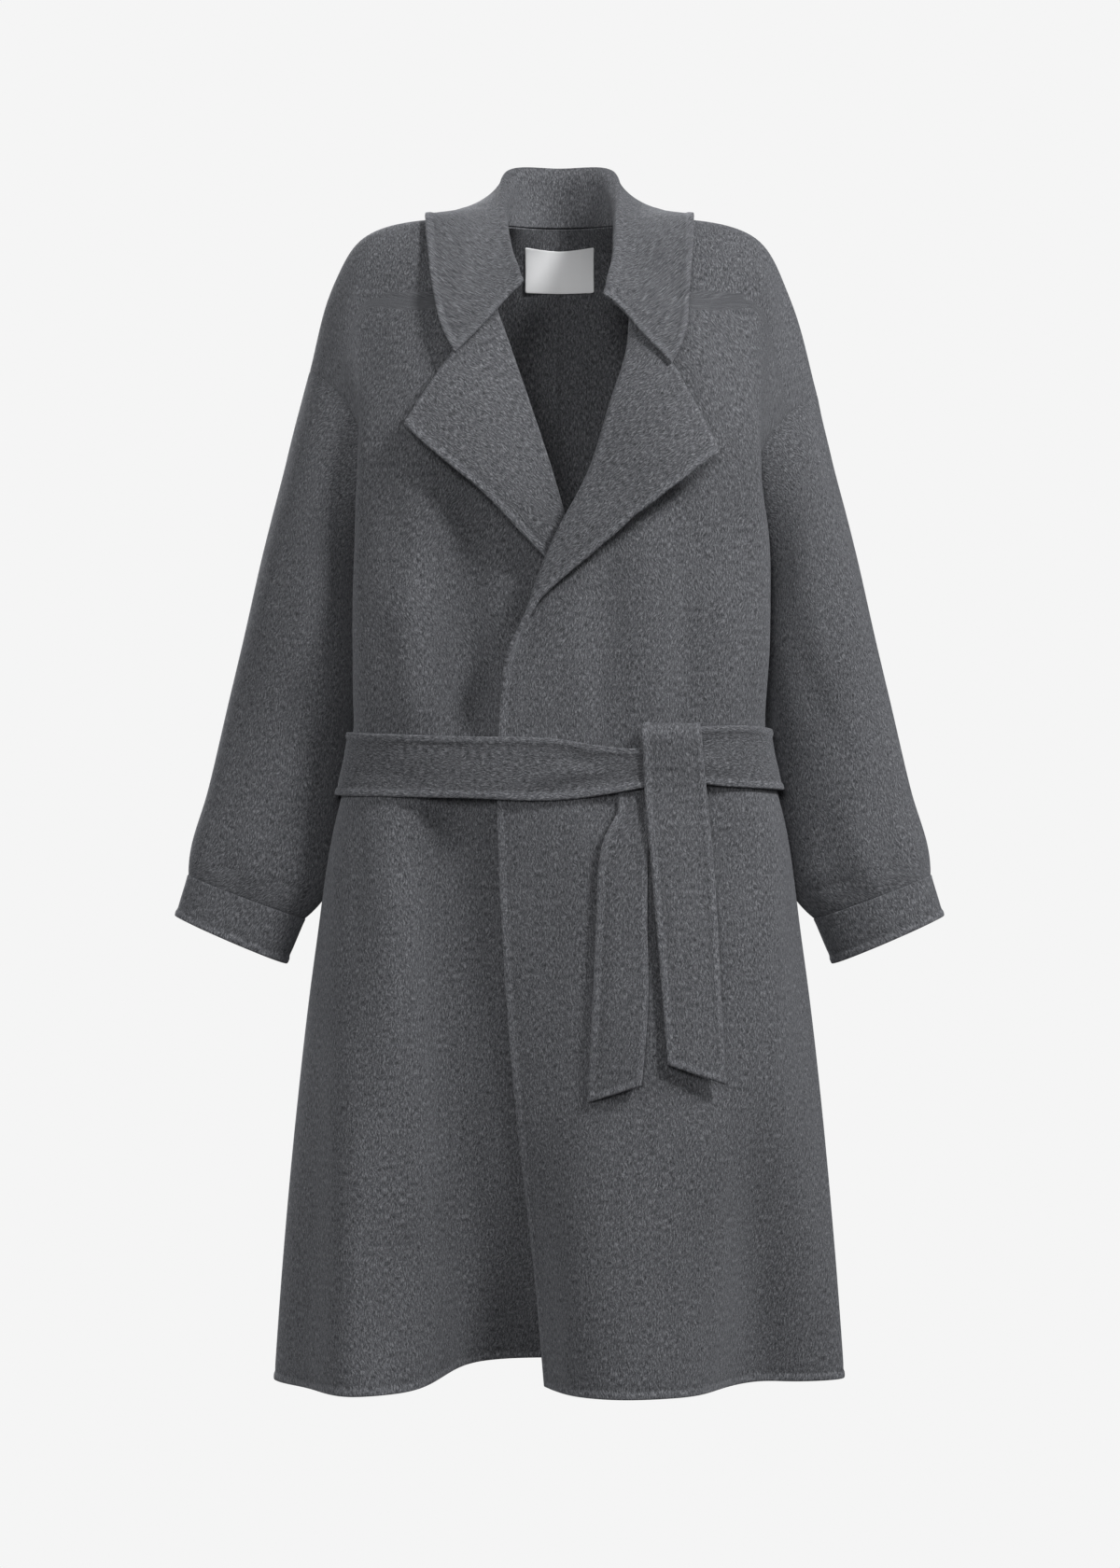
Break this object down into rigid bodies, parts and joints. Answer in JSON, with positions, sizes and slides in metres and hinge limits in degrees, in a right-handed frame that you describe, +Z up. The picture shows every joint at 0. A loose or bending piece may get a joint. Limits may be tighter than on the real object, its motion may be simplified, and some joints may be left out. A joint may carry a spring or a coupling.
{
  "type": "belted coat",
  "caption": "Long open-front coat in brushed wool, filled out and hollow, with wide notched lapels, turned cuffs and a tied belt.",
  "frame": {"origin": "middle of the neck opening, at the height of the shoulders", "axes": "+Z up, from the hem to the collar; -Y out of the coat's front; +X to the viewer's right, which is the wearer's left"},
  "size_m": [0.7848, 0.3056, 1.2412],
  "materials": {
    "wool": "brushed melange wool, matte",
    "label": "satin-woven label, bare"
  },
  "bodies": {
    "root": {"front_overlap": "wool", "front_underlap": "wool", "back_left": "wool", "back_right": "wool", "sleeve_left": "wool", "sleeve_right": "wool", "cuff_left": "wool", "cuff_right": "wool", "collar": "wool", "belt": "wool", "belt_tail_front": "wool", "belt_tail_back": "wool", "label": "label"}
  },
  "joints": []
}
